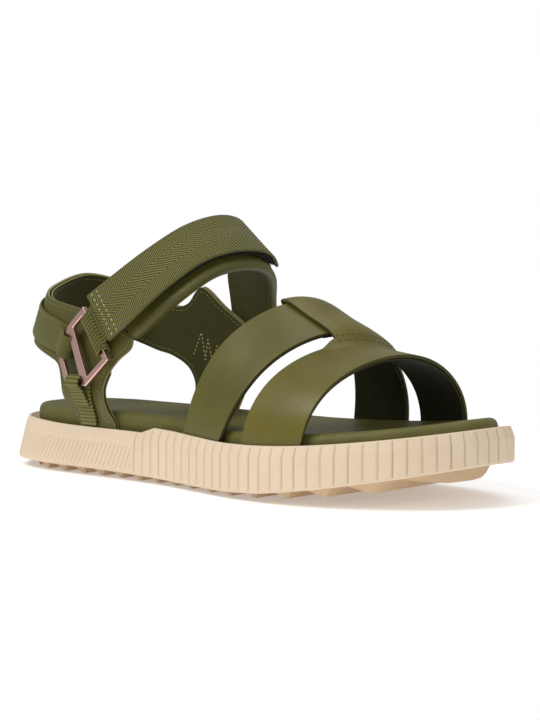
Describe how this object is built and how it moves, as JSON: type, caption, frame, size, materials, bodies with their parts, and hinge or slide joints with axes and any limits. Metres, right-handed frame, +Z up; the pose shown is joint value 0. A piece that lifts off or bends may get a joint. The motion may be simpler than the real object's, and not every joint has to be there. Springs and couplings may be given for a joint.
{
  "type": "strappy sport sandal",
  "caption": "Right-foot sport sandal with a lugged platform sole, leather foot straps and a webbing ankle closure held by a metal ring.",
  "frame": {"origin": "centre of the bounding box, on the ground under the sole", "axes": "+X towards the toe, +Y towards the inner side of the foot, +Z up"},
  "size_m": [0.262, 0.0966, 0.1157],
  "materials": {
    "sole": "matte, cream",
    "board": "matte fibre board",
    "foam": "soft foam",
    "leather": "smooth, matte, olive",
    "lining": "matte, dark olive",
    "webbing": "woven, olive",
    "hook": "hook and loop tape, dark olive",
    "metal": "polished, rose gold"
  },
  "bodies": {
    "sandal": {"tread": "sole", "midsole": "sole", "insole_board": "board", "footbed_foam": "foam", "footbed_cover": "leather", "toe_strap": "leather", "toe_strap_lining": "lining", "instep_strap": "leather", "instep_strap_lining": "lining", "quarter": "leather", "quarter_lining": "lining", "heel_tape": "webbing", "ring_tape": "webbing", "ring": "metal", "pad_loop": "hook", "pad_leather": "leather", "pad_foam": "foam", "pad_lining": "lining"},
    "closure": {"closure_loop": "webbing", "closure_webbing": "webbing", "closure_hook": "hook"}
  },
  "joints": [
    {"name": "closure_open", "type": "hinge", "parent": "sandal", "child": "closure", "pos_m": [-0.04873, -0.04026, 0.06305], "axis": [0.568, 0, -0.823], "range_deg": [0, 110]}
  ]
}
